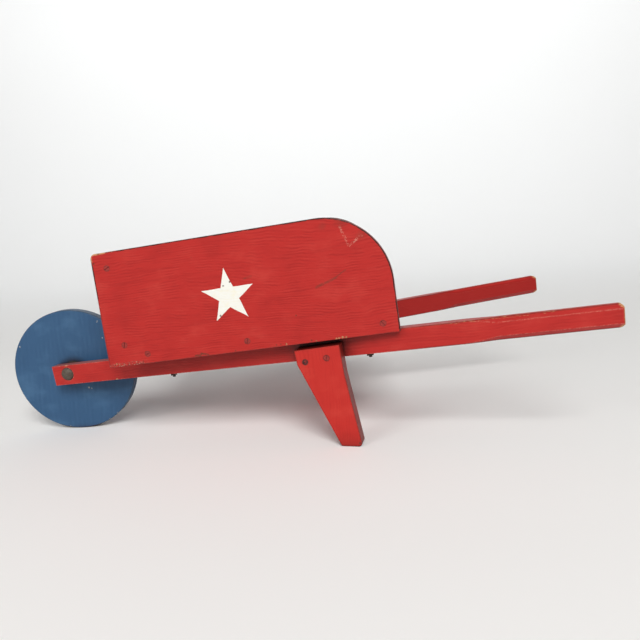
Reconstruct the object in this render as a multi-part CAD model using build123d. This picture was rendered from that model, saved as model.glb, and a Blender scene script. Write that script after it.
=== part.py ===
from build123d import *
from math import radians, sqrt, tan
import os

# A child's wooden wheelbarrow, in millimetres.
#
# The barrow is laid out level, in its build frame: the origin is the centre of the axle, +X runs
# back towards the handles, +Y is the right-hand side of whoever pushes it and +Z is square to
# the floor board. settle() then leans it back on its wheel and legs, so that +Z is up, and puts
# the origin on the ground under the middle of the whole barrow.
# Left-hand pieces are modelled and right-hand pieces are their mirror images, but for where the
# right leg is fixed.

# Wheel, and the carriage bolt that it turns on
WHEEL_RADIUS = 101.6
WHEEL_THICKNESS = 19.0
WHEEL_EDGE_RADIUS = 1.5
AXLE_RADIUS = 4.76
WHEEL_RUNNING_CLEARANCE = 0.08
AXLE_HOLE_RADIUS = 5.0
AXLE_HEAD_RADIUS = 10.3
AXLE_HEAD_HEIGHT = 4.9
AXLE_HEAD_RIM = 0.9
AXLE_END_CHAMFER = 0.8
AXLE_SEAT_Y = 34.8
AXLE_NECK_WIDTH = 9.5
AXLE_NECK_LENGTH = 5.5
AXLE_NECK_CLEARANCE = 0.1
AXLE_POCKET_RADIUS = 10.8
AXLE_WASHER_THICKNESS = 1.6
AXLE_NUT_WIDTH = 14.3
AXLE_NUT_HEIGHT = 8.3
AXLE_NUT_CROWN_RADIUS = 11.5
AXLE_NUT_CROWN_SHIFT = 1.0
AXLE_TAIL = 3.0
HUB_WASHER_RADIUS = 16.5
HUB_WASHER_SEAT_Y = 14.6
HUB_WASHER_GAP = 0.3
HUB_WASHER_EDGE_RADIUS = 0.5
HUB_WASHER_POCKET_CLEARANCE = 0.5

# Handle rails: one straight square-edged bar each side, splayed apart towards the handles
RAIL_WIDTH = 19.0
RAIL_HEIGHT = 32.5
RAIL_OUTER_Y = 36.0
RAIL_SPLAY = 11.36
RAIL_FRONT = 26.8
RAIL_REAR = 841.0
RAIL_EDGE_RADIUS = 0.8
AXLE_ABOVE_RAIL_MIDDLE = 1.4
GRIP_CHAMFER = 6.5
GRIP_START = 680.0
GRIP_RUN_OUT_RADIUS = 400.0
GRIP_END_RADIUS = 7.0
GRIP_END_SIDE_RADIUS = 3.5

# Box: a floor board on the rails, two side panels outside it and a front panel on top of it
BOX_SPLAY = 6.43
FLOOR_THICKNESS = 19.0
PANEL_THICKNESS = 12.7
PANEL_FRONT_X = 102.3
PANEL_FRONT_Y = 108.5
PANEL_LAP = 2.0
PANEL_LENGTH = 439.4
PANEL_HEIGHT = 169.8
PANEL_FRONT_RAKE = 9.7
PANEL_FRONT_TOP_RADIUS = 8.0
PANEL_REAR_TOP_RADIUS = 97.0
PANEL_LOWER_CORNER_RADIUS = 1.6
PANEL_EDGE_RADIUS = 1.1
FRONT_PANEL_X = 124.0
FRONT_PANEL_THICKNESS = 19.0
BOARD_EDGE_RADIUS = 1.0

# Legs: tapered planks screwed to the outer faces of the rails
# An outline's points are (distance back along the rail, height above the axle) in its build frame
LEG_THICKNESS = 24.0
LEG_TOP_FRONT = (398.1, 3.4)
LEG_TOP_REAR = (465.2, 5.5)
LEG_REAR_KNEE = (466.4, -38.0)
LEG_HEEL = (478.5, -160.0)
LEG_TOE = (451.4, -160.0)
LEG_FRONT_KNEE = (399.1, -17.6)
LEG_KNEE_RADIUS = 12.0
LEG_TOP_CORNER_RADIUS = 1.5
LEG_HEEL_RADIUS = 5.5
LEG_TOE_RADIUS = 2.0
LEG_EDGE_RADIUS = 1.1
# The right leg is fixed this much nearer the wheel than the left one
RIGHT_LEG_FORWARD = 16.0

# The barrow leans back by this much when it stands on its legs
LEAN = 5.8

# How far one shape of a piece runs into the next, and a length greater than the whole barrow
OVERLAP = 0.5
BEYOND = 2000.0

# Stove bolts through the floor board and the rails
FLOOR_BOLT_STATIONS = (184.6, 501.5)
BOLT_RADIUS = 2.38
BOLT_HOLE_RADIUS = 2.5
BOLT_HEAD_RADIUS = 4.9
BOLT_HEAD_HEIGHT = 2.9
BOLT_HEAD_RIM = 0.6
BOLT_SLOT_DEPTH = 1.4
BOLT_TAIL = 3.0
NUT_WIDTH = 9.5
NUT_HEIGHT = 3.3
NUT_CROWN_RADIUS = 7.9
NUT_CROWN_SHIFT = 3.5
NUT_TURNS = (28.0, 4.0)

# Flat-headed slotted wood screws
SCREW_HEAD_RADIUS = 4.3
SCREW_HEAD_DEPTH = 2.9
SCREW_SHANK_RADIUS = 2.1
SCREW_POINT = 5.0
SCREW_SLOT_WIDTH = 1.1
SCREW_SLOT_DEPTH = 1.0
SCREW_HOLE_CLEARANCE = 0.05
PANEL_SCREW_LENGTH = 32.0
LEG_SCREW_LENGTH = 38.0
FLOOR_SCREWS = ((65.0, 14.3), (219.9, 14.0), (416.9, 14.4))
FRONT_SCREWS = ((31.3, 146.9), (31.7, 31.7))
LEG_SCREWS = ((411.8, -14.6), (444.0, -11.7))

STANDING = Pos(0, 0, WHEEL_RADIUS) * Rot(0, -LEAN, 0)

RAIL_TOP = RAIL_HEIGHT / 2 - AXLE_ABOVE_RAIL_MIDDLE
RAIL_BOTTOM = RAIL_TOP - RAIL_HEIGHT
FLOOR_TOP = RAIL_TOP + FLOOR_THICKNESS
PANEL_BOTTOM = RAIL_TOP - PANEL_LAP
PANEL_TOP = PANEL_BOTTOM + PANEL_HEIGHT

# Each sloping face has a frame: X along the piece, Y inwards from its outer face, Z up
LEFT_RAIL = Pos(0, -RAIL_OUTER_Y, 0) * Rot(0, 0, -RAIL_SPLAY)
LEFT_PANEL = Pos(PANEL_FRONT_X, -PANEL_FRONT_Y, PANEL_BOTTOM) * Rot(0, 0, -BOX_SPLAY)
LEFT_LEG = LEFT_RAIL * Pos(0, -LEG_THICKNESS, 0)
MIRRORED_RIGHT_LEG = LEFT_LEG * Pos(-RIGHT_LEG_FORWARD, 0, 0)

# A piece modelled along Z, with its head up, points these ways after the turn
HEAD_LEFT = Rot(90, 0, 0)
HEAD_RIGHT = Rot(-90, 0, 0)


def outline(points, corners=()):
    """A flat face through the points, with some of them rounded: corners holds (index, radius)."""
    face = make_face(Polyline(*points, close=True))
    for index, radius in corners:
        corner = face.vertices().sort_by_distance(Vector(*points[index]))[0]
        face = fillet(corner, radius)
    return face


def upright(face, thickness):
    """A board whose side view is the face: Y runs from 0 to the thickness."""
    return extrude(Plane.XZ * face, amount=-thickness)


def soften(board, axis, radius):
    """The board with the edges round its two broad faces eased."""
    broad = board.faces().sort_by(axis)
    return fillet(broad[0].edges() + broad[-1].edges(), radius)


def bar(radius, bottom, top):
    """A round bar along Z between two heights."""
    return Pos(0, 0, bottom) * Cylinder(radius, top - bottom, align=(Align.CENTER, Align.CENTER, Align.MIN))


def right_hand(piece):
    return mirror(piece, about=Plane.XZ)


def along_y(piece, head=HEAD_LEFT):
    return head * piece


# ---------------------------------------------------------------- fasteners

def dome(radius, height, rim):
    """A mushroom head on the plane z = 0: a short rim under a spherical cap."""
    rise = height - rim
    sphere_radius = (radius ** 2 + rise ** 2) / (2 * rise)
    ball = Pos(0, 0, height - sphere_radius) * Sphere(sphere_radius)
    return ball & bar(radius, 0, height + 1)


def screw_slot(top, width, depth):
    return Pos(0, 0, top - depth / 2) * Box(4 * SCREW_HEAD_RADIUS, width, depth)


def screw_blank(length, clearance=0.0):
    """A flat-headed screw along -Z, its head flush with z = 0."""
    rim, shank = SCREW_HEAD_RADIUS + clearance, SCREW_SHANK_RADIUS + clearance
    profile = Polyline(
        (0, 0),
        (rim, 0),
        (shank, -SCREW_HEAD_DEPTH),
        (shank, SCREW_POINT - length),
        (0, -length - clearance),
        close=True,
    )
    return revolve(Plane.XZ * make_face(profile), Axis.Z)


def screw(length, slot_turn):
    slot = Rot(0, 0, slot_turn) * screw_slot(0, SCREW_SLOT_WIDTH, SCREW_SLOT_DEPTH)
    return screw_blank(length) - slot


def screw_places(face, stations):
    """Where screws go in on a sloping face, each driven square into it."""
    return [face * Pos(along, 0, up) * HEAD_LEFT for along, up in stations]


def screws(face, stations, length):
    slot_turns = range(25, 180, 50)
    return [place * screw(length, turn) for place, turn in zip(screw_places(face, stations), slot_turns)]


def screw_holes(face, stations, length):
    return [place * screw_blank(length, SCREW_HOLE_CLEARANCE) for place in screw_places(face, stations)]


LEFT_PANEL_HOLES = screw_holes(LEFT_PANEL, FLOOR_SCREWS + FRONT_SCREWS, PANEL_SCREW_LENGTH)
BOLT_PLACES = [LEFT_RAIL * Pos(station, RAIL_WIDTH / 2, 0) for station in FLOOR_BOLT_STATIONS]
BOLT_HOLES = [place * bar(BOLT_HOLE_RADIUS, -RAIL_HEIGHT, FLOOR_TOP + 1) for place in BOLT_PLACES]


def floor_bolt():
    """A round-headed slotted bolt, from the floor board's top to below the nut."""
    head = dome(BOLT_HEAD_RADIUS, BOLT_HEAD_HEIGHT, BOLT_HEAD_RIM)
    head -= screw_slot(BOLT_HEAD_HEIGHT, SCREW_SLOT_WIDTH, BOLT_SLOT_DEPTH)
    tail = RAIL_BOTTOM - NUT_HEIGHT - BOLT_TAIL
    return Pos(0, 0, FLOOR_TOP) * head + bar(BOLT_RADIUS, tail, FLOOR_TOP + OVERLAP)


def floor_nut(turn):
    """A square nut under the rail, with its lower corners turned down."""
    block = Rot(0, 0, turn) * Box(NUT_WIDTH, NUT_WIDTH, NUT_HEIGHT)
    crown = Pos(0, 0, NUT_CROWN_SHIFT) * Sphere(NUT_CROWN_RADIUS)
    nut = (block & crown) - Cylinder(BOLT_RADIUS, 2 * NUT_HEIGHT)
    return Pos(0, 0, RAIL_BOTTOM - NUT_HEIGHT / 2) * nut


# ---------------------------------------------------------- wheel and axle

def wheel():
    disc = Cylinder(WHEEL_RADIUS, WHEEL_THICKNESS)
    disc = fillet(disc.edges(), WHEEL_EDGE_RADIUS)
    disc -= Cylinder(AXLE_RADIUS + WHEEL_RUNNING_CLEARANCE, 2 * WHEEL_THICKNESS)
    return along_y(disc)


def axle_neck(clearance):
    """The square under the axle bolt's head, with a clearance all round it."""
    width = AXLE_NECK_WIDTH + 2 * clearance
    return Pos(0, 0, AXLE_SEAT_Y - AXLE_NECK_LENGTH / 2) * Box(width, width, AXLE_NECK_LENGTH + 2 * clearance)


def axle_bolt():
    """A carriage bolt across both rails: domed head and square neck on the left."""
    nut_face = AXLE_SEAT_Y + AXLE_WASHER_THICKNESS + AXLE_NUT_HEIGHT
    head = Pos(0, 0, AXLE_SEAT_Y) * dome(AXLE_HEAD_RADIUS, AXLE_HEAD_HEIGHT, AXLE_HEAD_RIM)
    shank = bar(AXLE_RADIUS, -nut_face - AXLE_TAIL, AXLE_SEAT_Y + OVERLAP)
    shank = chamfer(shank.edges().sort_by(Axis.Z)[0], AXLE_END_CHAMFER)
    return along_y(head + axle_neck(0) + shank)


def axle_washer():
    ring = bar(AXLE_HEAD_RADIUS, AXLE_SEAT_Y, AXLE_SEAT_Y + AXLE_WASHER_THICKNESS)
    return along_y(ring - bar(AXLE_HOLE_RADIUS, 0, 2 * AXLE_SEAT_Y), HEAD_RIGHT)


def axle_nut():
    """A hexagon nut on the right, its outer corners turned down."""
    bottom = AXLE_SEAT_Y + AXLE_WASHER_THICKNESS
    hexagon = extrude(RegularPolygon(AXLE_NUT_WIDTH / 2, 6, major_radius=False), amount=AXLE_NUT_HEIGHT)
    crown = Pos(0, 0, -AXLE_NUT_CROWN_SHIFT) * Sphere(AXLE_NUT_CROWN_RADIUS)
    nut = Pos(0, 0, bottom) * (hexagon & crown)
    return along_y(nut - bar(AXLE_RADIUS, 0, 2 * AXLE_SEAT_Y), HEAD_RIGHT)


def hub_washer():
    """A thick plate washer between the wheel and the left rail."""
    inner = WHEEL_THICKNESS / 2 + HUB_WASHER_GAP
    ring = bar(HUB_WASHER_RADIUS, inner, HUB_WASHER_SEAT_Y)
    ring = fillet(ring.edges().filter_by(GeomType.CIRCLE), HUB_WASHER_EDGE_RADIUS)
    return along_y(ring - bar(AXLE_HOLE_RADIUS, 0, 2 * HUB_WASHER_SEAT_Y))


# ------------------------------------------------------------------- rails

def grip_cutter():
    """What a router takes off one long edge of a grip: a flat with a curved run-out."""
    depth = GRIP_CHAMFER / sqrt(2)
    reach = RAIL_REAR + GRIP_CHAMFER
    run_out = sqrt(GRIP_RUN_OUT_RADIUS ** 2 - (GRIP_RUN_OUT_RADIUS - depth) ** 2)
    start, full = (GRIP_START - run_out, 0), (GRIP_START, -depth)
    cut = Polyline(start, (start[0], RAIL_WIDTH), (reach, RAIL_WIDTH), (reach, -depth), full)
    arc = RadiusArc(full, start, -GRIP_RUN_OUT_RADIUS)
    side = make_face(cut + arc)
    return Pos(0, -RAIL_WIDTH, 0) * upright(side, 2 * RAIL_WIDTH)


def rail_bar():
    """A rail in its own frame: a bar with four chamfered edges and rounded corners at its grip."""
    side_view = outline(
        [
            (-RAIL_FRONT, RAIL_BOTTOM),
            (RAIL_REAR, RAIL_BOTTOM),
            (RAIL_REAR, RAIL_TOP),
            (-RAIL_FRONT, RAIL_TOP),
        ],
        [(1, GRIP_END_RADIUS), (2, GRIP_END_RADIUS)],
    )
    plan = outline(
        [(-RAIL_FRONT, 0), (RAIL_REAR, 0), (RAIL_REAR, RAIL_WIDTH), (-RAIL_FRONT, RAIL_WIDTH)],
        [(1, GRIP_END_SIDE_RADIUS), (2, GRIP_END_SIDE_RADIUS)],
    )
    blank = upright(side_view, RAIL_WIDTH)
    long_edges = blank.edges().filter_by(Axis.X)
    front_edges = blank.faces().sort_by(Axis.X)[0].edges()
    blank = fillet(long_edges + front_edges, RAIL_EDGE_RADIUS)
    blank &= Pos(0, 0, -RAIL_HEIGHT) * extrude(plan, amount=2 * RAIL_HEIGHT)
    cutter = grip_cutter()
    for y, upper_turn, lower_turn in ((0, 45, 135), (RAIL_WIDTH, -45, 225)):
        blank -= Pos(0, y, RAIL_TOP) * Rot(upper_turn, 0, 0) * cutter
        blank -= Pos(0, y, RAIL_BOTTOM) * Rot(lower_turn, 0, 0) * cutter
    return blank


def left_rail(leg_frame):
    """The left rail, with screw holes for a leg that has this frame."""
    rail = LEFT_RAIL * rail_bar()
    axle_hole = bar(AXLE_HOLE_RADIUS, 0, 2 * RAIL_OUTER_Y)
    head_pocket = bar(AXLE_POCKET_RADIUS, AXLE_SEAT_Y, 2 * RAIL_OUTER_Y)
    washer_pocket = bar(HUB_WASHER_RADIUS + HUB_WASHER_POCKET_CLEARANCE, 0, HUB_WASHER_SEAT_Y)
    rail -= along_y(axle_hole + head_pocket + washer_pocket)
    for hole in BOLT_HOLES + screw_holes(leg_frame, LEG_SCREWS, LEG_SCREW_LENGTH):
        rail -= hole
    return rail


# --------------------------------------------------------------------- box

def inner_y(x):
    """Distance of the side panel's inner face from the middle of the barrow, at x."""
    splay = tan(radians(BOX_SPLAY))
    return PANEL_FRONT_Y + (x - PANEL_FRONT_X) * splay - PANEL_THICKNESS * sqrt(1 + splay ** 2)


def left_panel():
    face = outline(
        [(0, 0), (PANEL_LENGTH, 0), (PANEL_LENGTH, PANEL_HEIGHT), (PANEL_FRONT_RAKE, PANEL_HEIGHT)],
        [
            (0, PANEL_LOWER_CORNER_RADIUS),
            (1, PANEL_LOWER_CORNER_RADIUS),
            (2, PANEL_REAR_TOP_RADIUS),
            (3, PANEL_FRONT_TOP_RADIUS),
        ],
    )
    panel = LEFT_PANEL * soften(upright(face, PANEL_THICKNESS), Axis.Y, PANEL_EDGE_RADIUS)
    for hole in LEFT_PANEL_HOLES:
        panel -= hole
    return panel


def cross_board(front, rear, bottom, top):
    """A board across the box, its ends cut to the side panels' splay."""
    plan = outline(
        [(front, -inner_y(front)), (rear, -inner_y(rear)), (rear, inner_y(rear)), (front, inner_y(front))]
    )
    board = Pos(0, 0, bottom) * extrude(plan, amount=top - bottom)
    for hole in LEFT_PANEL_HOLES:
        board -= hole
        board -= right_hand(hole)
    return board


def floor_board():
    rear = (LEFT_PANEL * Pos(PANEL_LENGTH, 0, 0)).position.X
    board = cross_board(FRONT_PANEL_X, rear, RAIL_TOP, FLOOR_TOP)
    for hole in BOLT_HOLES:
        board -= hole
        board -= right_hand(hole)
    return fillet(board.edges().filter_by(Axis.Y).group_by(Axis.X)[-1], BOARD_EDGE_RADIUS)


def front_panel():
    rear = FRONT_PANEL_X + FRONT_PANEL_THICKNESS
    board = cross_board(FRONT_PANEL_X, rear, FLOOR_TOP, PANEL_TOP)
    return fillet(board.edges().filter_by(Axis.Y).group_by(Axis.Z)[-1], BOARD_EDGE_RADIUS)


# -------------------------------------------------------------------- legs

def left_leg(leg_frame):
    """A tapered plank, cut off level with the ground at its foot."""
    face = outline(
        [LEG_TOP_FRONT, LEG_TOP_REAR, LEG_REAR_KNEE, LEG_HEEL, LEG_TOE, LEG_FRONT_KNEE],
        [(0, LEG_TOP_CORNER_RADIUS), (1, LEG_TOP_CORNER_RADIUS), (2, LEG_KNEE_RADIUS), (5, LEG_KNEE_RADIUS)],
    )
    ground = Pos(0, 0, -WHEEL_RADIUS) * Box(BEYOND, BEYOND, 2 * WHEEL_RADIUS)
    plank = upright(face, LEG_THICKNESS) - (STANDING * leg_frame).inverse() * ground
    for end, radius in ((0, LEG_TOE_RADIUS), (-1, LEG_HEEL_RADIUS)):
        foot = plank.faces().sort_by(Axis.Z)[0]
        plank = fillet(foot.edges().sort_by(Axis.X)[end], radius)
    plank = leg_frame * soften(plank, Axis.Y, LEG_EDGE_RADIUS)
    for hole in screw_holes(leg_frame, LEG_SCREWS, LEG_SCREW_LENGTH):
        plank -= hole
    return plank


# ---------------------------------------------------------------- assembly

def build():
    nuts = [place * floor_nut(turn) for place, turn in zip(BOLT_PLACES, NUT_TURNS)]
    pieces = {
        "wheel": wheel(),
        "axle_bolt": axle_bolt(),
        "axle_washer": axle_washer(),
        "axle_nut": axle_nut(),
        "handle_rail_left": left_rail(LEFT_LEG) - along_y(axle_neck(AXLE_NECK_CLEARANCE)),
        "handle_rail_right": right_hand(left_rail(MIRRORED_RIGHT_LEG)),
        "floor_board": floor_board(),
        "front_panel": front_panel(),
        "leg_left": left_leg(LEFT_LEG),
        "leg_right": right_hand(left_leg(MIRRORED_RIGHT_LEG)),
        "leg_screws_left": Compound(screws(LEFT_LEG, LEG_SCREWS, LEG_SCREW_LENGTH)),
        "leg_screws_right": right_hand(Compound(screws(MIRRORED_RIGHT_LEG, LEG_SCREWS, LEG_SCREW_LENGTH))),
    }
    paired = {
        "hub_washer": hub_washer(),
        "side_panel": left_panel(),
        "floor_bolts": Compound([place * floor_bolt() for place in BOLT_PLACES]),
        "floor_bolt_nuts": Compound(nuts),
        "floor_edge_screws": Compound(screws(LEFT_PANEL, FLOOR_SCREWS, PANEL_SCREW_LENGTH)),
        "front_panel_screws": Compound(screws(LEFT_PANEL, FRONT_SCREWS, PANEL_SCREW_LENGTH)),
    }
    for name, piece in paired.items():
        pieces[name + "_left"] = piece
        pieces[name + "_right"] = right_hand(piece)
    return pieces


def settle(pieces):
    """Stand the barrow on its wheel and legs, with the origin under its middle."""
    standing = {name: STANDING * piece for name, piece in pieces.items()}
    middle = Compound(list(standing.values())).bounding_box().center()
    return {name: Pos(-middle.X, 0, 0) * piece for name, piece in standing.items()}


os.makedirs("parts", exist_ok=True)
for node, shape in settle(build()).items():
    export_step(shape, f"parts/{node}.step")
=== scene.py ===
import math
import random

import bmesh
import bpy
from mathutils import Matrix, Vector


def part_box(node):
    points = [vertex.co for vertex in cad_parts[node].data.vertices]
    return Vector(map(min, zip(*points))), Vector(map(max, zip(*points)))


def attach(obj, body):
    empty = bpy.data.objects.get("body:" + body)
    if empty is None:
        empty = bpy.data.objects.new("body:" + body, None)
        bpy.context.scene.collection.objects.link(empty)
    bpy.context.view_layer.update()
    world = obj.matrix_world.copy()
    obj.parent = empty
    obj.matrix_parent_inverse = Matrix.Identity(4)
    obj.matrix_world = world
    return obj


# A child's painted wooden wheelbarrow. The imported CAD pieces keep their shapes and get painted-wood
# and rusty-steel materials. The star on each side panel is a coat of paint laid on the panel.
# The row frame is in metres; the local frames below are in millimetres, as the barrow is laid out.

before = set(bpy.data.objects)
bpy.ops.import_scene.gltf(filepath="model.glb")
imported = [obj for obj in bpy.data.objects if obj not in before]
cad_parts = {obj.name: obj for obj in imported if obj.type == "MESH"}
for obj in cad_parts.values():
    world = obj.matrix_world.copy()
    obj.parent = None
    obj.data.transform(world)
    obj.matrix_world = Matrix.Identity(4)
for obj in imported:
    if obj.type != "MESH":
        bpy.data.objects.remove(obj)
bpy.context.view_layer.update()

MM = 0.001

# How the barrow is laid out round the centre of its axle, as in the part, in millimetres and degrees
LEAN = 5.8
RAIL_OUTER_Y = 36.0
RAIL_SPLAY = 11.36
RAIL_TOP = 14.85
RAIL_BOTTOM = -17.65
RAIL_MIDDLE = (RAIL_TOP + RAIL_BOTTOM) / 2
RAIL_HALF_HEIGHT = (RAIL_TOP - RAIL_BOTTOM) / 2
RAIL_REAR = 841.0
RAIL_WIDTH = 19.0
GRIP_CHAMFER = 6.5
GRIP_CORNER = 7.0
PANEL_FRONT_X = 102.3
PANEL_FRONT_Y = 108.5
PANEL_BOTTOM = 12.85
PANEL_HEIGHT = 169.8
PANEL_LENGTH = 439.4
PANEL_THICKNESS = 12.7
PANEL_FRONT_RAKE = 9.7
PANEL_REAR_TOP_RADIUS = 97.0
BOX_SPLAY = 6.43
LEG_THICKNESS = 24.0
RIGHT_LEG_FORWARD = 16.0
WHEEL_RADIUS = 101.6
SCREW_HEAD_RADIUS = 4.3

# The screws' places in their piece's local frame, (along the piece, height)
FLOOR_SCREWS = ((65.0, 14.3), (219.9, 14.0), (416.9, 14.4))
FRONT_SCREWS = ((31.3, 146.9), (31.7, 31.7))
LEG_SCREWS = ((411.8, -14.6), (444.0, -11.7))

# How the boards' grain lies: the slope of the side panels' grain, and the wheel's tilt off upright
PANEL_RUN_OUT = 0.07
WHEEL_GRAIN_TILT = 3.2

# The raised grain's usual wander and the spacing of its bands, and the step from one noise to the next
WANDER = 9.0
PITCH = 3.9
SHIFT_STEP = 31.7

# The star, in the side panel's frame: its coat of paint starts inside the panel and ends just proud of it
STAR_CENTRE = (204.5, 82.1)
STAR_RADIUS = 40.6
STAR_INNER_SHARE = 0.385
STAR_POINTS = 5
STAR_BACK = 0.3
STAR_FRONT = -0.16
STAR_ROUNDING = 0.06
STAR_DRAWN_IN = 0.12
STAR_STEPS = 16
STAR_SEEDS = {"left": 7, "right": 11}
CHIP_SEED = 4

# The camera: its place in metres, how it is turned in degrees, and its lens and sensor in millimetres
CAMERA_PLACE = (0.0995, -1.0057, 0.3275)
CAMERA_YAW = 2.69
CAMERA_PITCH = 12.515
CAMERA_ROLL = -3.24
CAMERA_LENS = 34.834
CAMERA_SENSOR = 36.0
CAMERA_SHIFT_UP = 0.0566

# The studio, in metres: a floor that curves up into a wall behind the barrow
FLOOR_HALF_WIDTH = 9.0
FLOOR_FRONT = -6.0
CURVE_START = 2.2
CURVE_RADIUS = 1.6
CURVE_STEPS = 16
WALL_TOP = 3.0

# The lamps, in metres and watts: name, width and height, power, place, what it is aimed at, colour
LAMPS = (
    ("key", (2.9, 2.9), 300.0, (0.9, -4.7, 4.2), (0.0, 0.0, 0.1), (1.0, 0.99, 0.975)),
    ("fill", (2.0, 2.0), 60.0, (-3.2, -3.4, 2.6), (0.0, 0.0, 0.1), (1.0, 0.99, 0.98)),
    ("backdrop", (6.0, 1.0), 33.0, (0.0, 2.0, 2.4), (0.0, 4.4, 1.1), (0.9, 0.95, 1.0)),
)
SKY_COLOUR = (1.0, 0.985, 0.97, 1.0)
SKY_STRENGTH = 0.22


# ------------------------------------------------------------------ local frames

def centre(node):
    low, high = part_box(node)
    return (low + high) / 2


def turn(degrees, axis):
    return Matrix.Rotation(math.radians(degrees), 4, axis)


def shift(x, y, z):
    return Matrix.Translation((x, y, z))


# From millimetres in the level layout, round the axle, to metres in the row frame
LAYOUT = Matrix.Translation(centre("wheel")) @ turn(-LEAN, "Y") @ Matrix.Scale(MM, 4)
RAIL = LAYOUT @ shift(0, -RAIL_OUTER_Y, 0) @ turn(-RAIL_SPLAY, "Z")
PANEL = LAYOUT @ shift(PANEL_FRONT_X, -PANEL_FRONT_Y, PANEL_BOTTOM) @ turn(-BOX_SPLAY, "Z")
LEG = RAIL @ shift(0, -LEG_THICKNESS, 0)
RIGHT_LEG = LEG @ shift(-RIGHT_LEG_FORWARD, 0, 0)
WHEEL = Matrix.Translation(centre("wheel")) @ turn(WHEEL_GRAIN_TILT, "Y") @ Matrix.Scale(MM, 4)
MIRROR = Matrix.Scale(-1, 4, (0, 1, 0))


# ---------------------------------------------------------------------- shaders

def linear(red, green, blue):
    """An 8-bit display colour as a linear RGBA."""
    def channel(value):
        value /= 255
        return value / 12.92 if value <= 0.04045 else ((value + 0.055) / 1.055) ** 2.4
    return (channel(red), channel(green), channel(blue), 1.0)


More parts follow.
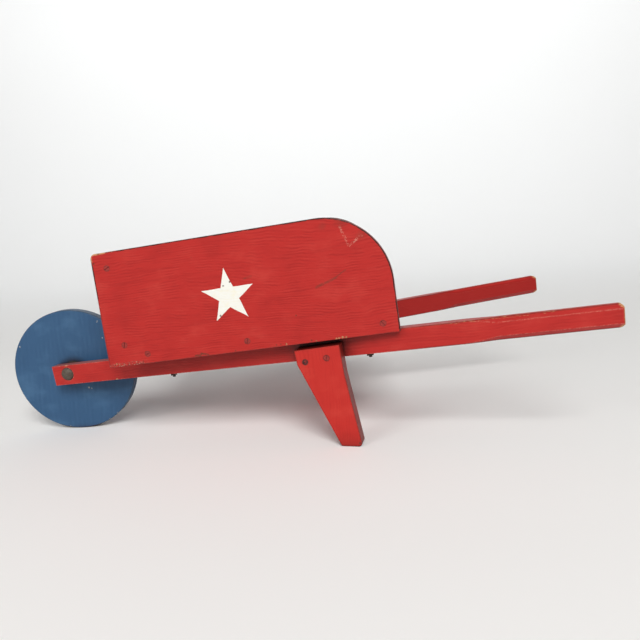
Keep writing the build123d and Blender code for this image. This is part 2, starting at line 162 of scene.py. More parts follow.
class Shader:
    """A node material under construction, with methods that add nodes and return their output sockets."""

    def __init__(self, name):
        self.material = bpy.data.materials.new(name)
        self.material.use_nodes = True
        self.tree = self.material.node_tree
        self.tree.nodes.clear()
        self.shift = 0.0

    def node(self, kind, inputs, **settings):
        """A new node, with each input linked to a socket or set to a constant."""
        made = self.tree.nodes.new(kind)
        for key, value in settings.items():
            setattr(made, key, value)
        for key, value in inputs.items():
            if isinstance(value, bpy.types.NodeSocket):
                self.tree.links.new(value, made.inputs[key])
            else:
                made.inputs[key].default_value = value
        return made

    def local(self, matrix, mirrored=False):
        """Where a point of the surface is in a local frame, in millimetres. It moves with the piece."""
        where = self.node("ShaderNodeTexCoord", {}).outputs["Object"]
        if mirrored:
            where = self.vector("MULTIPLY", where, (1, -1, 1))
        place, rotation, scale = matrix.inverted().decompose()
        mapped = self.node(
            "ShaderNodeMapping",
            {"Vector": where, "Location": place, "Rotation": rotation.to_euler(), "Scale": scale},
        )
        return mapped.outputs[0]

    def stretch(self, vector, x, y, z):
        """The vector scaled along each axis, and shifted to a part of the noise not used before."""
        self.shift += SHIFT_STEP
        place = (self.shift, 0.7 * self.shift, 0.3 * self.shift)
        inputs = {"Vector": vector, "Scale": (x, y, z), "Location": place}
        return self.node("ShaderNodeMapping", inputs).outputs[0]

    def noise(self, vector, detail=2.0, roughness=0.5, distortion=0.0):
        inputs = {"Vector": vector, "Scale": 1.0, "Detail": detail, "Roughness": roughness}
        inputs["Distortion"] = distortion
        return self.node("ShaderNodeTexNoise", inputs).outputs["Fac"]

    def spread(self, vector, amount, size):
        """The vector pushed about by a noise, by up to the amount, over patches of this size."""
        noise = self.node("ShaderNodeTexNoise", {"Vector": vector, "Scale": 1.0 / size, "Detail": 3.0})
        centred = self.vector("SUBTRACT", noise.outputs["Color"], (0.5, 0.5, 0.5))
        return self.vector("MULTIPLY_ADD", centred, (2 * amount,) * 3, vector)

    def vector(self, operation, *operands):
        return self.node("ShaderNodeVectorMath", dict(enumerate(operands)), operation=operation).outputs[0]

    def measure(self, operation, *operands):
        """A vector operation that gives a number: a length, a distance or a dot product."""
        made = self.node("ShaderNodeVectorMath", dict(enumerate(operands)), operation=operation)
        return made.outputs["Value"]

    def math(self, operation, a, b=0.0):
        return self.node("ShaderNodeMath", {0: a, 1: b}, operation=operation).outputs[0]

    def product(self, first, *others):
        for other in others:
            first = self.math("MULTIPLY", first, other)
        return first

    def off(self, value, target):
        """How far a value is from the target, either way."""
        return self.math("ABSOLUTE", self.math("SUBTRACT", value, target))

    def smooth(self, value, low, high, out_low=0.0, out_high=1.0):
        """A soft step from one value out at low to the other at high, which may be the lower of the two."""
        inputs = {"Value": value, "From Min": low, "From Max": high, "To Min": out_low, "To Max": out_high}
        return self.node("ShaderNodeMapRange", inputs, interpolation_type="SMOOTHSTEP").outputs[0]

    def split(self, vector):
        """The vector's X, Y and Z."""
        return self.node("ShaderNodeSeparateXYZ", {0: vector}).outputs

    def mix(self, base, top, amount):
        """The base colour with this much of the top one in its place."""
        inputs = {0: amount, 6: base, 7: top}
        return self.node("ShaderNodeMix", inputs, data_type="RGBA").outputs[2]

    def edges(self, radius, sharpest=0.06):
        """1 near edges and corners, within the radius, and 0 on flat faces."""
        rounded = self.node("ShaderNodeBevel", {"Radius": radius * MM}, samples=6).outputs[0]
        true = self.node("ShaderNodeNewGeometry", {}).outputs["Normal"]
        agree = self.measure("DOT_PRODUCT", rounded, true)
        return self.smooth(self.math("SUBTRACT", 1.0, agree), 0.005, sharpest)

    def crevices(self, reach):
        """1 deep in corners and joints between pieces, and 0 in the open."""
        open_air = self.node("ShaderNodeAmbientOcclusion", {"Distance": reach * MM}, samples=8).outputs["AO"]
        return self.smooth(open_air, 0.85, 0.25)

    def spots(self, vector, places, softness=0.45):
        """1 inside round spots seen along local Y: places holds (x, z, radius), in millimetres."""
        flat = self.vector("MULTIPLY", vector, (1, 0, 1))
        total = None
        for x, z, radius in places:
            reach = self.measure("DISTANCE", flat, (x, 0, z))
            spot = self.smooth(reach, radius, radius * softness)
            total = spot if total is None else self.math("MAXIMUM", total, spot)
        return total

    def stroke(self, vector, start, end, width):
        """1 along a straight stroke seen along local Y, from start to end, each (x, z)."""
        run = Vector((end[0] - start[0], end[1] - start[1]))
        angle = math.atan2(run.y, run.x)
        turned = Matrix.Rotation(angle, 4, "Y") @ Matrix.Translation((-start[0], 0, -start[1]))
        inputs = {"Vector": vector, "Location": turned.to_translation(), "Rotation": turned.to_euler()}
        x, _, z = self.split(self.node("ShaderNodeMapping", inputs).outputs[0])
        across = self.smooth(self.math("ABSOLUTE", z), width, 0.3 * width)
        ends = self.product(self.smooth(x, 0, width), self.smooth(x, run.length, run.length - width))
        return self.product(across, ends)

    def bump(self, height, distance):
        """The normal of a surface raised by the height, where 1 is this distance in millimetres."""
        inputs = {"Height": height, "Distance": distance * MM, "Strength": 1.0}
        return self.node("ShaderNodeBump", inputs).outputs[0]

    def finish(self, **inputs):
        """The material itself, once the surface has these inputs."""
        sockets = {key.replace("_", " "): value for key, value in inputs.items()}
        shader = self.node("ShaderNodeBsdfPrincipled", sockets)
        self.node("ShaderNodeOutputMaterial", {"Surface": shader.outputs[0]})
        return self.material


# ---------------------------------------------------------------------- colours

RED = linear(174, 33, 28)
DARK_RED = linear(146, 19, 17)
PALE_RED = linear(188, 56, 47)
LEG_REDS = (linear(184, 37, 29), linear(158, 22, 18), linear(198, 60, 48))
BARE_WOOD = linear(190, 142, 100)
OLD_WOOD = linear(92, 50, 36)
GRIME_AND_SHADE = linear(44, 22, 17)
DEEP_SHADE = linear(40, 8, 6)
DEEP_RED = linear(146, 16, 10)
FADED_RED_AND_HIGHLIGHT = linear(206, 124, 108)
BLUE = linear(48, 83, 118)
DARK_BLUE = linear(40, 73, 107)
PALE_BLUE = linear(70, 107, 141)
TREAD = linear(62, 84, 104)
GREASE = linear(30, 34, 40)
OFF_WHITE = linear(229, 229, 222)
YELLOWED = linear(226, 219, 190)
DUST_AND_SHEEN = linear(150, 128, 120)
OUTLINE_BROWN = linear(40, 17, 13)
FLAKE_PINK = linear(206, 150, 128)
FLAKE_BROWN = linear(96, 50, 42)
SCUFF = linear(226, 190, 168)
DARK_BROWN_RED = linear(84, 20, 14)
WHEEL_CHIP = linear(184, 182, 172)
STAR_CHIP = linear(74, 38, 34)
RUST_PIT = linear(24, 19, 16)
RUST_CREVICE = linear(20, 15, 12)
DARK_STEEL = linear(60, 52, 46)
DARK_RUST = linear(62, 40, 28)
BOLT_STEEL = linear(92, 82, 72)
BOLT_RUST = linear(80, 66, 54)
SCREW_RED = linear(160, 40, 34)
SCREW_BROWN = linear(128, 38, 32)
SCREW_RIM = linear(68, 22, 19)
SCREW_BARED = linear(34, 20, 18)
STUDIO_WHITE = linear(246, 246, 245)

WOOD_REDS = (RED, DARK_RED, PALE_RED)
WOOD_BLUES = (BLUE, DARK_BLUE, PALE_BLUE)


# ------------------------------------------------------------------------ marks

# Chips and smudges in each piece's local frame: (along the piece, height, radius)
PANEL_BARE_CORNER = [
    (14, PANEL_HEIGHT, 13), (12, PANEL_HEIGHT - 10, 4), (30, PANEL_HEIGHT, 8), (42, PANEL_HEIGHT, 5),
]
PANEL_TAN_CHIPS = [
    (276, 2.5, 1.8), (320, 2, 1.4), (349, 1.0, 2.0), (353, 1.6, 2.0), (358, 1.8, 2.2), (363, 2.0, 1.8),
    (13, 5, 1.6), (17, 4, 1.3), (10.5, 160, 1.6),
]
PANEL_DARK_CHIPS = [
    (200, 2.5, 1.3), (262, 3.0, 1.5), (268, 3.6, 1.2), (56, 4.5, 1.2), (71, 3.5, 1.0),
    (13, 156, 1.9), (313, 3.4, 1.3), (297, 41.6, 1.5), (161, 144.4, 0.9), (233.7, 104, 1.1),
]
PANEL_CHIP_ROW = (139, 142, 145, 148, 151, 154, 157)
PANEL_SMUDGES = [(352, 158, 8), (378, 160, 12), (403, 138, 9)]
RAIL_CHIPS = [(0.8, RAIL_TOP, 2.4), (88, RAIL_BOTTOM + 0.8, 2.0), (300, RAIL_BOTTOM, 1.4)]
LEG_CHIPS = [(474, -143, 2.0), (449, -150, 1.5)]
WHEEL_CHIPS = [
    (51.9, 55.8, 1.3), (22.4, -29.9, 2), (27.2, -31.1, 1.2), (-89.3, 39.5, 1.5), (45.4, 84.1, 1.3),
    (57.3, 47.5, 1.1), (44.7, 82, 0.9), (68.5, -74.2, 1.6), (53.9, -84.6, 1.2), (-14.8, -98.5, 1),
]
STAR_CHIPS = [(210.5, 102, 1.9), (199.7, 97.5, 1.5), (187.5, 55.8, 2.0), (192, 56, 1.4)]

# Strokes on the side panel: (start, end, width)
PANEL_SMEAR = ((229, 103), (245, 105.5), 2.2)
PANEL_SCRATCH = (((329, 76), (364, 87), 2.6), ((358, 85), (377, 96), 1.4))
PANEL_SCUFF = (((375.5, 156), (385.5, 125), 2.6), ((384, 125), (406, 140), 2.4))

# Where along the rail wear and the painted highlight on the chamfer come in, and for the top edge where wear
# goes out again
TOP_WEAR_IN, TOP_WEAR_OUT = (590, 630), (800, 740)
CHAMFER_HIGHLIGHT_IN = (680, 740)
GRIP_LINE_IN = (520, 600)


# ----------------------------------------------------------------- painted wood

# Which way the grain runs, and for each the way across it
ALONG_X, ALONG_Y, ALONG_Z = range(3)
ACROSS = ((0, 0.6, 1), (1, 0, 0.6), (1, 0.6, 0))


def grain(shader, where, along, wander, pitch=PITCH, run_out=0.0):
    """Raised grain along local X, Y or Z that wanders and ripples: its bands, and its long streaks."""
    loose, rippled, long = [0.012] * 3, [0.05] * 3, [0.22] * 3
    loose[along], rippled[along], long[along] = 0.005, 0.045, 0.010
    drift = shader.noise(shader.stretch(where, *loose), detail=1.0)
    ripple = shader.noise(shader.stretch(where, *rippled), detail=2.0)
    way = list(ACROSS[along])
    way[along] = run_out
    across = shader.measure("DOT_PRODUCT", where, way)
    across = shader.math("ADD", across, shader.product(drift, 4 * wander))
    across = shader.math("ADD", across, shader.product(ripple, 0.7 * wander))
    ridges = shader.math("SINE", shader.product(across, 2 * math.pi / pitch))
    broken = shader.noise(shader.stretch(where, *[1.4 * share for share in rippled]), detail=3.0)
    ridges = shader.product(ridges, shader.smooth(broken, 0.35, 0.65, 0.03, 0.28))
    run = shader.product(shader.split(where)[along], 0.02)
    lines = shader.math("DIVIDE", across, 0.8 * pitch)
    flow = shader.node("ShaderNodeCombineXYZ", {0: run, 1: lines}).outputs[0]
    fibres = shader.noise(flow, detail=2.5)
    streaks = shader.noise(shader.stretch(where, *long), detail=3.0, distortion=0.3)
    return shader.math("ADD", ridges, fibres), streaks


def painted_wood(name, matrix, along, mirrored=False, colours=WOOD_REDS, marks=None, edge_colour=OLD_WOOD,
                 wander=WANDER, pitch=PITCH, run_out=0.0, relief=0.2, contrast=0.7, painted_shade=0.0, reach=45.0):
    """Brushed paint over raised grain, rubbed through along its edges, with grime and painted shade in its
    corners, and deeper painted shade near other pieces where painted_shade is set.
    """
    shader = Shader(name)
    where = shader.local(matrix, mirrored)
    paint, deep, pale = colours
    bands, streaks = grain(shader, where, along, wander, pitch, run_out)

    colour = shader.mix(paint, deep, shader.smooth(bands, 0.5, 0.15, 0.0, 0.75 * contrast))
    colour = shader.mix(colour, pale, shader.smooth(bands, 0.55, 0.9, 0.0, 0.4 * contrast))
    colour = shader.mix(colour, deep, shader.smooth(streaks, 0.45, 0.25, 0.0, 0.5 * contrast))
    patches = shader.noise(shader.stretch(where, 0.02, 0.02, 0.03), detail=4.0)
    colour = shader.mix(colour, deep, shader.smooth(patches, 0.5, 0.25, 0.0, 0.4))
    colour = shader.mix(colour, pale, shader.smooth(patches, 0.5, 0.75, 0.0, 0.5))
    dust = shader.noise(shader.stretch(where, 0.35, 0.35, 0.35), detail=6.0, roughness=0.7)
    colour = shader.mix(colour, pale, shader.smooth(dust, 0.6, 0.75, 0.0, 0.4))

    speckle = shader.noise(shader.stretch(where, 0.5, 0.5, 0.5), detail=5.0, roughness=0.65)
    edge = shader.edges(2.5)
    rubbed = shader.product(edge, shader.smooth(speckle, 0.45, 0.57))
    lost = shader.product(edge, shader.smooth(speckle, 0.69, 0.76))
    colour = shader.mix(colour, edge_colour, shader.product(rubbed, 0.8))
    colour = shader.mix(colour, BARE_WOOD, lost)
    if marks:
        colour, lost = marks(shader, where, colour, lost)
    # Grime and painted shade in corners and joints, from ambient occlusion.
    colour = shader.mix(colour, GRIME_AND_SHADE, shader.product(shader.crevices(6.0), 0.7))
    # Deeper painted shade near other pieces, such as under the box and beside the rails.
    if painted_shade:
        colour = shader.mix(colour, DEEP_SHADE, shader.product(shader.crevices(reach), painted_shade))

    height = shader.math("ADD", shader.product(bands, 0.7), shader.product(streaks, 0.6))
    height = shader.math("SUBTRACT", height, shader.product(lost, 0.6))
    height = shader.math("ADD", height, shader.product(dust, 0.08))
    rough = shader.smooth(dust, 0.3, 0.7, 0.38, 0.52)
    rough = shader.math("MAXIMUM", rough, shader.product(lost, 0.8))
    normal = shader.bump(height, relief)
    return shader.finish(Base_Color=colour, Roughness=rough, Normal=normal, Specular_IOR_Level=0.3)


def chips(shader, where, colour, lost, places, weathered):
    """Chips in the outer face, down to the wood, which is darker the more weathered it is."""
    ragged = shader.spread(shader.spread(where, 1.8, 3.0), 0.7, 0.9)
    chip = shader.spots(ragged, places)
    chip = shader.product(chip, shader.smooth(shader.split(ragged)[1], 4.5, 3.0))
    pits = shader.noise(shader.stretch(where, 0.7, 0.7, 0.7), detail=3.0)
    old = shader.smooth(pits, 0.62 - 0.3 * weathered, 0.72 - 0.3 * weathered)
    wood = shader.mix(BARE_WOOD, OLD_WOOD, old)
    colour = shader.mix(colour, wood, shader.product(chip, 0.85))
    return colour, shader.math("MAXIMUM", lost, chip)


def from_outline(shader, where):
    """How far inside the side panel's front, top and rear outline a point is."""
    flat = shader.vector("MULTIPLY", where, (1, 0, 1))
    hub = (PANEL_LENGTH - PANEL_REAR_TOP_RADIUS, 0, PANEL_HEIGHT - PANEL_REAR_TOP_RADIUS)
    past = shader.vector("MAXIMUM", shader.vector("SUBTRACT", flat, hub), (0, 0, 0))
    reach = shader.measure("LENGTH", past)
    front = shader.measure("DOT_PRODUCT", where, (1, 0, -PANEL_FRONT_RAKE / PANEL_HEIGHT))
    return shader.math("MINIMUM", front, shader.math("SUBTRACT", PANEL_REAR_TOP_RADIUS, reach))


def dark_outline(shader, where, colour):
    """A thin dark line along the rounded edge round the outline, thicker at the front, bare and tan at its
    upper corner.
    """
    x, y, z = shader.split(where)
    blots = shader.noise(shader.stretch(where, 0.12, 0.12, 0.12), detail=5.0, roughness=0.7)
    inside = from_outline(shader, where)
    inside = shader.math("ADD", inside, shader.smooth(blots, 0.3, 0.7, 0.5, -0.5))
    width = shader.smooth(x, 30, 10, 1.5, 2.3)
    line = shader.smooth(shader.math("SUBTRACT", inside, width), 0.5, -0.4)
    middle = PANEL_THICKNESS / 2
    line = shader.product(line, shader.smooth(shader.off(y, middle), middle - 3.5, middle - 1.5))
    low_front = shader.product(shader.smooth(x, 40, 20), shader.smooth(z, 120, 80))
    line = shader.product(line, shader.smooth(low_front, 0, 1, 1.0, 0.3))
    corner = shader.spots(shader.spread(where, 2.0, 6.0), PANEL_BARE_CORNER)
    tan = shader.product(corner, shader.smooth(blots, 0.36, 0.46))
    wood = shader.mix(OUTLINE_BROWN, BARE_WOOD, tan)
    return shader.mix(colour, wood, shader.product(line, shader.smooth(blots, 0.3, 0.5, 0.45, 0.95)))


def frayed_edge(shader, where, colour, lost):
    """The lower edge at the front, where the paint has come away in a ragged strip of small flakes."""
    x, _, z = shader.split(shader.spread(where, 2.2, 5.0))
    flakes = shader.noise(shader.stretch(where, 0.35, 0.35, 0.6), detail=5.0, roughness=0.75)
    strip = shader.product(shader.smooth(z, 9.0, 1.0), shader.smooth(x, 78, 36), shader.smooth(x, -2, 6))
    gone = shader.product(shader.smooth(strip, 0.05, 0.7), shader.smooth(flakes, 0.5, 0.56))
    tones = shader.noise(shader.stretch(where, 0.5, 0.5, 0.5), detail=4.0)
    wood = shader.mix(FLAKE_PINK, FLAKE_BROWN, shader.smooth(tones, 0.4, 0.5))
    colour = shader.mix(colour, wood, shader.product(gone, 0.85))
    return colour, shader.math("MAXIMUM", lost, gone)


def panel_marks(shader, where, colour, lost):
    """The chipped lower edge, a bare upper front corner, a scratch, and a scuff in the shape of a V."""
    colour = dark_outline(shader, where, colour)
    colour, lost = frayed_edge(shader, where, colour, lost)
    colour, lost = chips(shader, where, colour, lost, PANEL_TAN_CHIPS, weathered=0.45)
    rng = random.Random(CHIP_SEED)
    row = [(x, rng.uniform(1.5, 4.5), rng.uniform(1.9, 2.7)) for x in PANEL_CHIP_ROW]
    colour, lost = chips(shader, where, colour, lost, row + PANEL_DARK_CHIPS, weathered=1.2)

    smudges = shader.spots(shader.spread(where, 6.0, 12.0), PANEL_SMUDGES, 0.1)
    smear = shader.stroke(shader.spread(where, 2.0, 5.0), *PANEL_SMEAR)
    smudges = shader.math("MAXIMUM", smudges, smear)
    colour = shader.mix(colour, OLD_WOOD, shader.product(smudges, 0.25))
    wavering = shader.spread(where, 1.5, 14.0)
    grit = shader.noise(shader.stretch(where, 0.8, 0.8, 0.8), detail=4.0, roughness=0.7)
    broad, fine = (shader.stroke(wavering, *stroke) for stroke in PANEL_SCRATCH)
    scratch = shader.product(shader.math("MAXIMUM", broad, fine), shader.smooth(grit, 0.3, 0.6, 0.1, 0.65))
    colour = shader.mix(colour, OLD_WOOD, scratch)
    left, right = (shader.stroke(wavering, *stroke) for stroke in PANEL_SCUFF)
    scuff = shader.product(shader.math("MAXIMUM", left, right), shader.smooth(grit, 0.5, 0.6))
    return shader.mix(colour, SCUFF, shader.product(scuff, 0.38)), lost


def grip_rim(shader, along, off_middle, threads):
    """1 on the rounded rim of the grip's end, most of all at its upper and lower corners."""
    past_x = shader.math("MAXIMUM", shader.math("SUBTRACT", along, RAIL_REAR - GRIP_CORNER), 0.0)
    past_z = shader.math("SUBTRACT", off_middle, RAIL_HALF_HEIGHT - GRIP_CORNER)
    past_z = shader.math("MAXIMUM", past_z, 0.0)
    reach = shader.math("ADD", shader.math("POWER", past_x, 2.0), shader.math("POWER", past_z, 2.0))
    reach = shader.math("POWER", reach, 0.5)
    reach = shader.math("ADD", reach, shader.smooth(threads, 0.35, 0.65, -1.2, 0.8))
    reach = shader.math("ADD", reach, shader.smooth(past_z, 0.5, 3.0, -0.6, 0.9))
    rim = shader.smooth(reach, GRIP_CORNER - 2.5, GRIP_CORNER - 1.6)
    return shader.product(rim, shader.smooth(along, RAIL_REAR - 7.5, RAIL_REAR - 5.0))


def rail_marks(shader, where, colour, lost):
    """Wear by hands at the grip with a painted highlight on the chamfer's lower arris, chips at the front,
    dust with painted sheen on the top faces at the front, deeper red inside and painted shade underneath.
    """
    along, depth, height = shader.split(where)
    up = shader.split(shader.node("ShaderNodeNewGeometry", {}).outputs["Normal"])[2]
    colour = shader.mix(colour, DEEP_RED, shader.smooth(depth, RAIL_WIDTH - 5, RAIL_WIDTH - 1, 0.0, 0.8))
    # Painted shade on the faces that look down.
    colour = shader.mix(colour, DEEP_SHADE, shader.smooth(up, -0.8, -0.95, 0.0, 0.8))
    # Dust with a painted sheen: pale top faces, most of all at the front.
    dust_and_sheen = shader.product(shader.smooth(up, 0.6, 0.95), shader.smooth(along, 200, 60, 0.0, 0.45))
    colour = shader.mix(colour, DUST_AND_SHEEN, dust_and_sheen)
    colour, lost = chips(shader, where, colour, lost, RAIL_CHIPS, weathered=0.1)

    threads = shader.noise(shader.stretch(where, 0.14, 0.9, 0.9), detail=4.0, roughness=0.7)
    outside = shader.smooth(depth, 10, 6)
    upper_arris = shader.smooth(shader.off(height, RAIL_TOP - 1.0), 2.2, 0.8)
    reach = shader.product(shader.smooth(along, *TOP_WEAR_IN), shader.smooth(along, *TOP_WEAR_OUT))
    worn = shader.product(upper_arris, reach, outside, shader.smooth(threads, 0.56, 0.62))
    # A painted highlight along the chamfer's lower arris, partly rubbed paint, in pale faded red.
    lower_arris = shader.smooth(shader.off(height, RAIL_TOP - GRIP_CHAMFER), 1.2, 0.3)
    rubbed = shader.product(lower_arris, shader.smooth(along, *CHAMFER_HIGHLIGHT_IN), outside)
    rubbed = shader.product(rubbed, shader.smooth(threads, 0.5, 0.62, 0.0, 0.45))
    colour = shader.mix(colour, FADED_RED_AND_HIGHLIGHT, rubbed)

    # A dark brown-red line along the grip's upper and lower edges.
    off_middle = shader.off(height, RAIL_MIDDLE)
    line = shader.smooth(off_middle, RAIL_HALF_HEIGHT - 1.9, RAIL_HALF_HEIGHT - 0.7)
    line = shader.product(line, shader.smooth(along, *GRIP_LINE_IN, 0.0, 0.7), shader.smooth(up, 0.9, 0.6))
    colour = shader.mix(colour, DARK_BROWN_RED, line)
    worn = shader.math("MAXIMUM", worn, grip_rim(shader, along, off_middle, threads))
    return shader.mix(colour, BARE_WOOD, shader.product(worn, 0.9)), shader.math("MAXIMUM", lost, worn)


def leg_marks(shader, where, colour, lost):
    """Painted shade on the narrow faces, a dark line along the edges, and small dark chips."""
    depth = shader.split(where)[1]
    # Painted shade on every face but the outer one, patchy along the leg, and a dark line along the edges.
    narrow_face_shade = shader.smooth(depth, 0.1, 0.9)
    rubbed = shader.noise(shader.stretch(where, 0.1, 0.1, 0.03), detail=4.0)
    narrow_face_shade = shader.product(narrow_face_shade, shader.smooth(rubbed, 0.3, 0.6, 0.5, 0.8))
    shade_and_dark_edges = shader.math("MAXIMUM", narrow_face_shade, shader.product(shader.edges(1.8, 0.04), 0.75))
    colour = shader.mix(colour, DARK_BROWN_RED, shade_and_dark_edges)
    return chips(shader, where, colour, lost, LEG_CHIPS, weathered=1.2)


def wheel_marks(shader, where, colour, lost):
    """A dirty tread, grease round the hub, and pale chips."""
    reach = shader.measure("LENGTH", shader.vector("MULTIPLY", where, (1, 0, 1)))
    smears = shader.noise(shader.stretch(where, 0.06, 0.06, 0.06), detail=4.0)
    hub = shader.product(shader.smooth(reach, 29, 17), shader.smooth(smears, 0.35, 0.6, 0.1, 0.5))
    colour = shader.mix(colour, GREASE, hub)
    scraped = shader.noise(shader.stretch(where, 0.12, 0.12, 0.12), detail=5.0)
    tread = shader.smooth(reach, WHEEL_RADIUS - 1.6, WHEEL_RADIUS - 0.4)
    colour = shader.mix(colour, TREAD, shader.product(tread, shader.smooth(scraped, 0.3, 0.6, 0.3, 0.9)))
    chip = shader.spots(shader.spread(where, 1.4, 2.0), WHEEL_CHIPS)
    chip = shader.product(chip, shader.smooth(reach, WHEEL_RADIUS - 0.6, WHEEL_RADIUS - 1.4))
    colour = shader.mix(colour, WHEEL_CHIP, shader.product(chip, 0.75))
    return colour, shader.math("MAXIMUM", lost, chip)


# ------------------------------------------------------------------ other finishes

def star_paint(name, mirrored):
    """Thin off-white paint, a little yellowed, that has let go in a few places."""
    shader = Shader(name)
    where = shader.local(PANEL, mirrored)
    bands, streaks = grain(shader, where, ALONG_X, WANDER, run_out=PANEL_RUN_OUT)
    colour = shader.mix(OFF_WHITE, YELLOWED, shader.smooth(bands, 0.5, 0.15, 0.0, 0.4))
    cloud = shader.noise(shader.stretch(where, 0.08, 0.08, 0.08), detail=4.0)
    colour = shader.mix(colour, YELLOWED, shader.smooth(cloud, 0.5, 0.75, 0.0, 0.5))
    gone = shader.spots(shader.spread(where, 1.0, 2.0), STAR_CHIPS)
    speckle = shader.noise(shader.stretch(where, 0.45, 0.45, 0.45), detail=5.0, roughness=0.7)
    gone = shader.math("MAXIMUM", gone, shader.smooth(speckle, 0.72, 0.76))
    colour = shader.mix(colour, STAR_CHIP, shader.product(gone, 0.9))
    height = shader.math("ADD", shader.product(bands, 0.7), shader.product(streaks, 0.6))
    height = shader.math("SUBTRACT", height, shader.product(gone, 0.4))
    rough = shader.smooth(cloud, 0.3, 0.7, 0.42, 0.56)
    normal = shader.bump(height, 0.25)
    return shader.finish(Base_Color=colour, Roughness=rough, Normal=normal, Specular_IOR_Level=0.4)


def rusty_steel(name, clean, rust):
    """Dark steel with a skin of brown rust."""
    shader = Shader(name)
    where = shader.local(LAYOUT)
    blotches = shader.noise(shader.stretch(where, 0.22, 0.22, 0.22), detail=6.0, roughness=0.65)
    pits = shader.noise(shader.stretch(where, 1.6, 1.6, 1.6), detail=4.0)
    share = shader.smooth(blotches, 0.4, 0.62)
    colour = shader.mix(clean, rust, share)
    colour = shader.mix(colour, RUST_PIT, shader.smooth(pits, 0.5, 0.7, 0.0, 0.6))
    colour = shader.mix(colour, RUST_CREVICE, shader.product(shader.crevices(3.0), 0.8))
    metal = shader.smooth(share, 0.0, 1.0, 0.3, 0.05)
    rough = shader.smooth(share, 0.0, 1.0, 0.6, 0.8)
    height = shader.math("ADD", shader.product(blotches, 0.6), shader.product(pits, 0.3))
    normal = shader.bump(height, 0.25)
    return shader.finish(Base_Color=colour, Metallic=metal, Roughness=rough, Normal=normal)


def painted_screws(name, matrix, mirrored, places, bared=()):
    """Screw heads under the wood's paint, dark round their rims, some of them bared by a driver."""
    shader = Shader(name)
    where = shader.local(matrix, mirrored)
    blotches = shader.noise(shader.stretch(where, 0.4, 0.4, 0.4), detail=5.0, roughness=0.7)
    colour = shader.mix(SCREW_RED, SCREW_BROWN, shader.smooth(blotches, 0.4, 0.65))
    middle = shader.spots(where, [(x, z, SCREW_HEAD_RADIUS + 0.2) for x, z in places], softness=0.72)
    colour = shader.mix(SCREW_RIM, colour, middle)
    if bared:
        wavering = shader.spread(where, 1.5, 2.5)
        heads = [(x, z, SCREW_HEAD_RADIUS + 0.5) for x, z in bared]
        still_red = [(x + 0.4, z + 0.6, 0.6 * SCREW_HEAD_RADIUS) for x, z in bared]
        steel = shader.spots(wavering, heads, softness=0.6)
        kept = shader.spots(wavering, still_red, softness=0.5)
        steel = shader.math("SUBTRACT", steel, shader.product(kept, 0.75))
        colour = shader.mix(colour, SCREW_BARED, shader.product(steel, 0.9))
    # Painted shade in the slots and round the heads, with some grime.
    colour = shader.mix(colour, GRIME_AND_SHADE, shader.product(shader.crevices(1.2), 0.5))
    rough = shader.smooth(blotches, 0.3, 0.7, 0.45, 0.65)
    normal = shader.bump(blotches, 0.3)
    return shader.finish(Base_Color=colour, Metallic=0.1, Roughness=rough, Normal=normal)


def assign(node, material):
    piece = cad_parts[node]
    piece.data.materials.clear()
    piece.data.materials.append(material)


# ------------------------------------------------------------------------- star

def star_outline(rng):
    """A star with sharp corners and the small wavers of a brush along its sides."""
    corners = []
    for index in range(2 * STAR_POINTS):
        reach = STAR_RADIUS if index % 2 == 0 else STAR_RADIUS * STAR_INNER_SHARE
        angle = math.radians(90 - 180 / STAR_POINTS * index)
        x = STAR_CENTRE[0] + reach * math.cos(angle)
        z = STAR_CENTRE[1] + reach * math.sin(angle)
        corners.append(Vector((x, z)))
    points = []
    for start, end in zip(corners, corners[1:] + corners[:1]):
        side = end - start
        inward = Vector((-side.y, side.x)).normalized()
        phase, reach = rng.uniform(0, 6), rng.uniform(0.1, 0.3)
        for step in range(STAR_STEPS):
            waver = reach * math.sin(phase + 5 * step / STAR_STEPS) + rng.uniform(-0.12, 0.12)
            if step == 0:
                waver = 0.0
            points.append(start + side * (step / STAR_STEPS) + inward * waver)
    return points


def make_star(side, mirrored):
    """The star as a thin coat of paint: a wall with a rounded edge, and a fan of triangles on each face."""
    place = MIRROR @ PANEL if mirrored else PANEL
    build = bmesh.new()

    def ring(points, y):
        return [build.verts.new(place @ Vector((x, y, z))) for x, z in points]

    outline = star_outline(random.Random(STAR_SEEDS[side]))
    middle = Vector(STAR_CENTRE)
    drawn_in = [point.lerp(middle, STAR_DRAWN_IN / (point - middle).length) for point in outline]
    back = ring(outline, STAR_BACK)
    shoulder = ring(outline, STAR_FRONT + STAR_ROUNDING)
    front = ring(drawn_in, STAR_FRONT)
    count = len(outline)
    for low, high in ((back, shoulder), (shoulder, front)):
        for index in range(count):
            after = (index + 1) % count
            build.faces.new((low[index], low[after], high[after], high[index]))
    for rim, y in ((front, STAR_FRONT), (back, STAR_BACK)):
        hub = ring([STAR_CENTRE], y)[0]
        for index in range(count):
            build.faces.new((rim[index], rim[(index + 1) % count], hub))
    bmesh.ops.recalc_face_normals(build, faces=build.faces)
    mesh = bpy.data.meshes.new(f"star_{side}")
    build.to_mesh(mesh)
    build.free()
    star = bpy.data.objects.new(f"star_{side}", mesh)
    bpy.context.scene.collection.objects.link(star)
    mesh.materials.append(star_paint(f"star_paint_{side}", mirrored))
    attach(star, "barrow")


# ------------------------------------------------------------------------ scene

def make_camera():
    data = bpy.data.cameras.new("camera")
    data.sensor_width = CAMERA_SENSOR
    data.lens = CAMERA_LENS
    data.shift_y = CAMERA_SHIFT_UP
    camera = bpy.data.objects.new("camera", data)
    aim = turn(CAMERA_YAW, "Z") @ turn(90 - CAMERA_PITCH, "X") @ turn(CAMERA_ROLL, "Z")
    camera.matrix_world = shift(*CAMERA_PLACE) @ aim
    bpy.context.scene.collection.objects.link(camera)
    bpy.context.scene.camera = camera


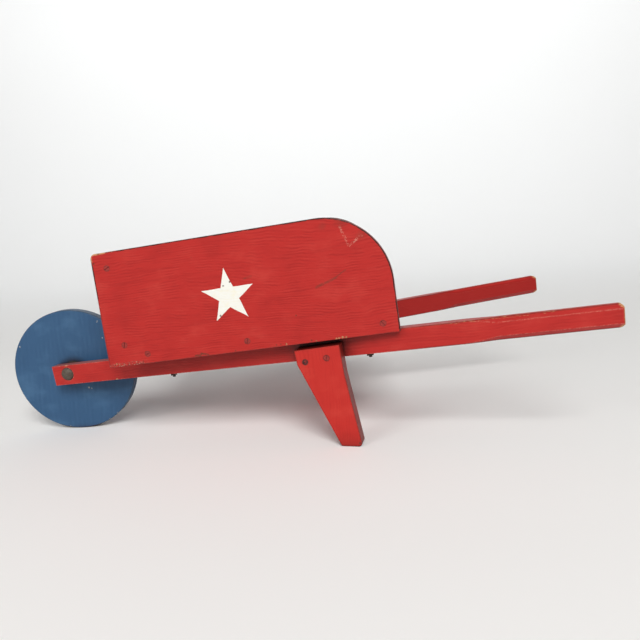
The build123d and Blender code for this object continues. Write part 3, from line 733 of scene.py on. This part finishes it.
def make_stage():
    """A pale floor that sweeps up into a backdrop a long way behind the barrow."""
    mesh = bpy.data.meshes.new("floor")
    build = bmesh.new()
    profile = [(FLOOR_FRONT, 0.0), (CURVE_START, 0.0)]
    for step in range(1, CURVE_STEPS + 1):
        angle = math.radians(90 * step / CURVE_STEPS)
        profile.append((CURVE_START + CURVE_RADIUS * math.sin(angle), CURVE_RADIUS * (1 - math.cos(angle))))
    profile.append((CURVE_START + CURVE_RADIUS, WALL_TOP))
    sides = (-FLOOR_HALF_WIDTH, FLOOR_HALF_WIDTH)
    rows = [[build.verts.new((x, y, z)) for x in sides] for y, z in profile]
    for low, high in zip(rows, rows[1:]):
        build.faces.new((low[0], low[1], high[1], high[0]))
    build.to_mesh(mesh)
    build.free()
    for face in mesh.polygons:
        face.use_smooth = True
    floor = bpy.data.objects.new("floor", mesh)
    bpy.context.scene.collection.objects.link(floor)
    pale = Shader("pale_floor").finish(Base_Color=STUDIO_WHITE, Roughness=0.8, Specular_IOR_Level=0.15)
    mesh.materials.append(pale)


def make_light(name, size, power, place, target, colour):
    data = bpy.data.lights.new(name, "AREA")
    data.shape = "RECTANGLE"
    data.size, data.size_y = size
    data.energy = power
    data.color = colour
    light = bpy.data.objects.new(name, data)
    light.location = place
    light.rotation_euler = (Vector(target) - Vector(place)).to_track_quat("-Z", "Y").to_euler()
    bpy.context.scene.collection.objects.link(light)


def make_lights():
    """A weak warm sky, a broad key and a fill from the front, and a strip that lights the wall."""
    world = bpy.data.worlds.new("studio")
    world.use_nodes = True
    background = world.node_tree.nodes["Background"]
    background.inputs["Color"].default_value = SKY_COLOUR
    background.inputs["Strength"].default_value = SKY_STRENGTH
    bpy.context.scene.world = world
    for lamp in LAMPS:
        make_light(*lamp)
    bpy.context.scene.view_settings.view_transform = "Standard"


make_camera()
make_stage()
make_lights()

for side, mirrored, leg_frame in (("left", False, LEG), ("right", True, RIGHT_LEG)):
    assign(f"side_panel_{side}", painted_wood(
        f"side_panel_paint_{side}", PANEL, ALONG_X, mirrored, marks=panel_marks, run_out=PANEL_RUN_OUT))
    # Rails: pale faded-red edges, partly rubbed paint and partly painted highlight, and deep painted shade
    # under the box.
    assign(f"handle_rail_{side}", painted_wood(
        f"rail_paint_{side}", RAIL, ALONG_X, mirrored, marks=rail_marks, edge_colour=FADED_RED_AND_HIGHLIGHT,
        contrast=0.5, painted_shade=0.95))
    # Legs: painted shade where the rails and the box are near.
    assign(f"leg_{side}", painted_wood(
        f"leg_paint_{side}", leg_frame, ALONG_Z, mirrored, LEG_REDS, leg_marks,
        relief=0.1, contrast=0.3, painted_shade=0.6))
    assign(f"floor_edge_screws_{side}", painted_screws(
        f"floor_screw_paint_{side}", PANEL, mirrored, FLOOR_SCREWS))
    assign(f"front_panel_screws_{side}", painted_screws(
        f"front_screw_paint_{side}", PANEL, mirrored, FRONT_SCREWS))
    assign(f"leg_screws_{side}", painted_screws(
        f"leg_screw_paint_{side}", leg_frame, mirrored, LEG_SCREWS, bared=LEG_SCREWS[:1]))
    make_star(side, mirrored)
assign("floor_board", painted_wood("floor_board_paint", LAYOUT, ALONG_X))
assign("front_panel", painted_wood("front_panel_paint", LAYOUT, ALONG_Y))
# The wheel: painted shade close to the rails and washers.
assign("wheel", painted_wood(
    "wheel_paint", WHEEL, ALONG_Z, colours=WOOD_BLUES, marks=wheel_marks, edge_colour=TREAD,
    wander=5.0, pitch=8.0, relief=0.12, contrast=0.35, painted_shade=0.85, reach=15.0))

steel = rusty_steel("dark_steel", DARK_STEEL, DARK_RUST)
bolt_steel = rusty_steel("bolt_steel", BOLT_STEEL, BOLT_RUST)
for side in ("left", "right"):
    assign(f"hub_washer_{side}", steel)
    assign(f"floor_bolts_{side}", steel)
    assign(f"floor_bolt_nuts_{side}", steel)
for node in ("axle_bolt", "axle_washer", "axle_nut"):
    assign(node, bolt_steel)
